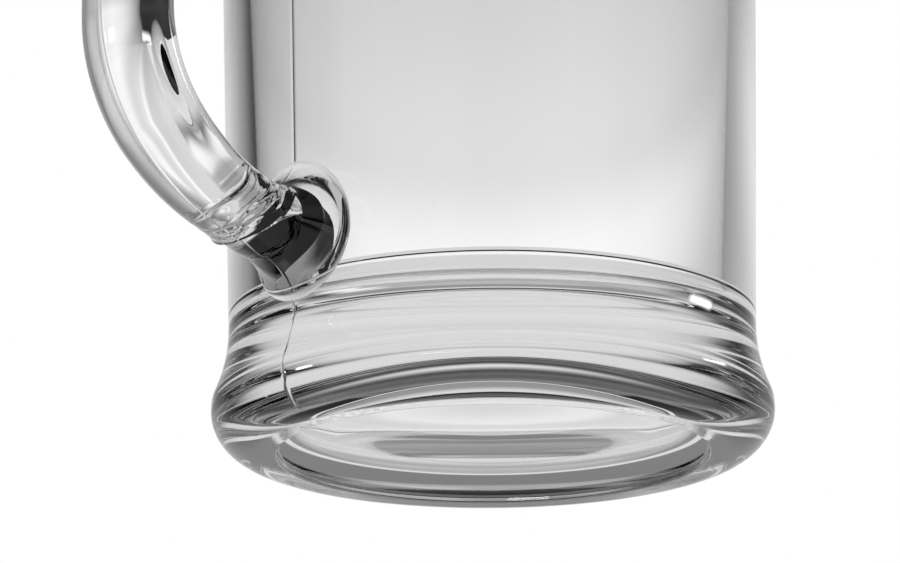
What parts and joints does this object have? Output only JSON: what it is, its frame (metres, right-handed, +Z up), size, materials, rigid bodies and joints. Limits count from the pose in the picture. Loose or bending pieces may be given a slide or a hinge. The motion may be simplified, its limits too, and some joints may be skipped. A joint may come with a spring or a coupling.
{
  "type": "glass beer mug",
  "caption": "Straight-sided thick pressed glass beer mug with a flared foot, a recessed underside and a welded-on looped bar handle.",
  "frame": {"origin": "centre of the ring that the mug stands on, on the table plane and on the bowl's axis", "axes": "+Z up the bowl's axis to the rim, -X towards the handle, +Y to the side, so that Y = 0 is the plane of symmetry"},
  "size_m": [0.1284, 0.091, 0.15],
  "materials": {
    "bowl_glass": "clear fire-polished pressed glass with a faint mould seam and fine scuffs on the standing ring",
    "handle_glass": "clear solid glass, smooth on the bar and wrinkled by chill marks at the welds"
  },
  "bodies": {
    "root": {"bowl": "bowl_glass", "lower_pad": "handle_glass", "upper_pad": "handle_glass", "handle": "handle_glass"}
  },
  "joints": []
}
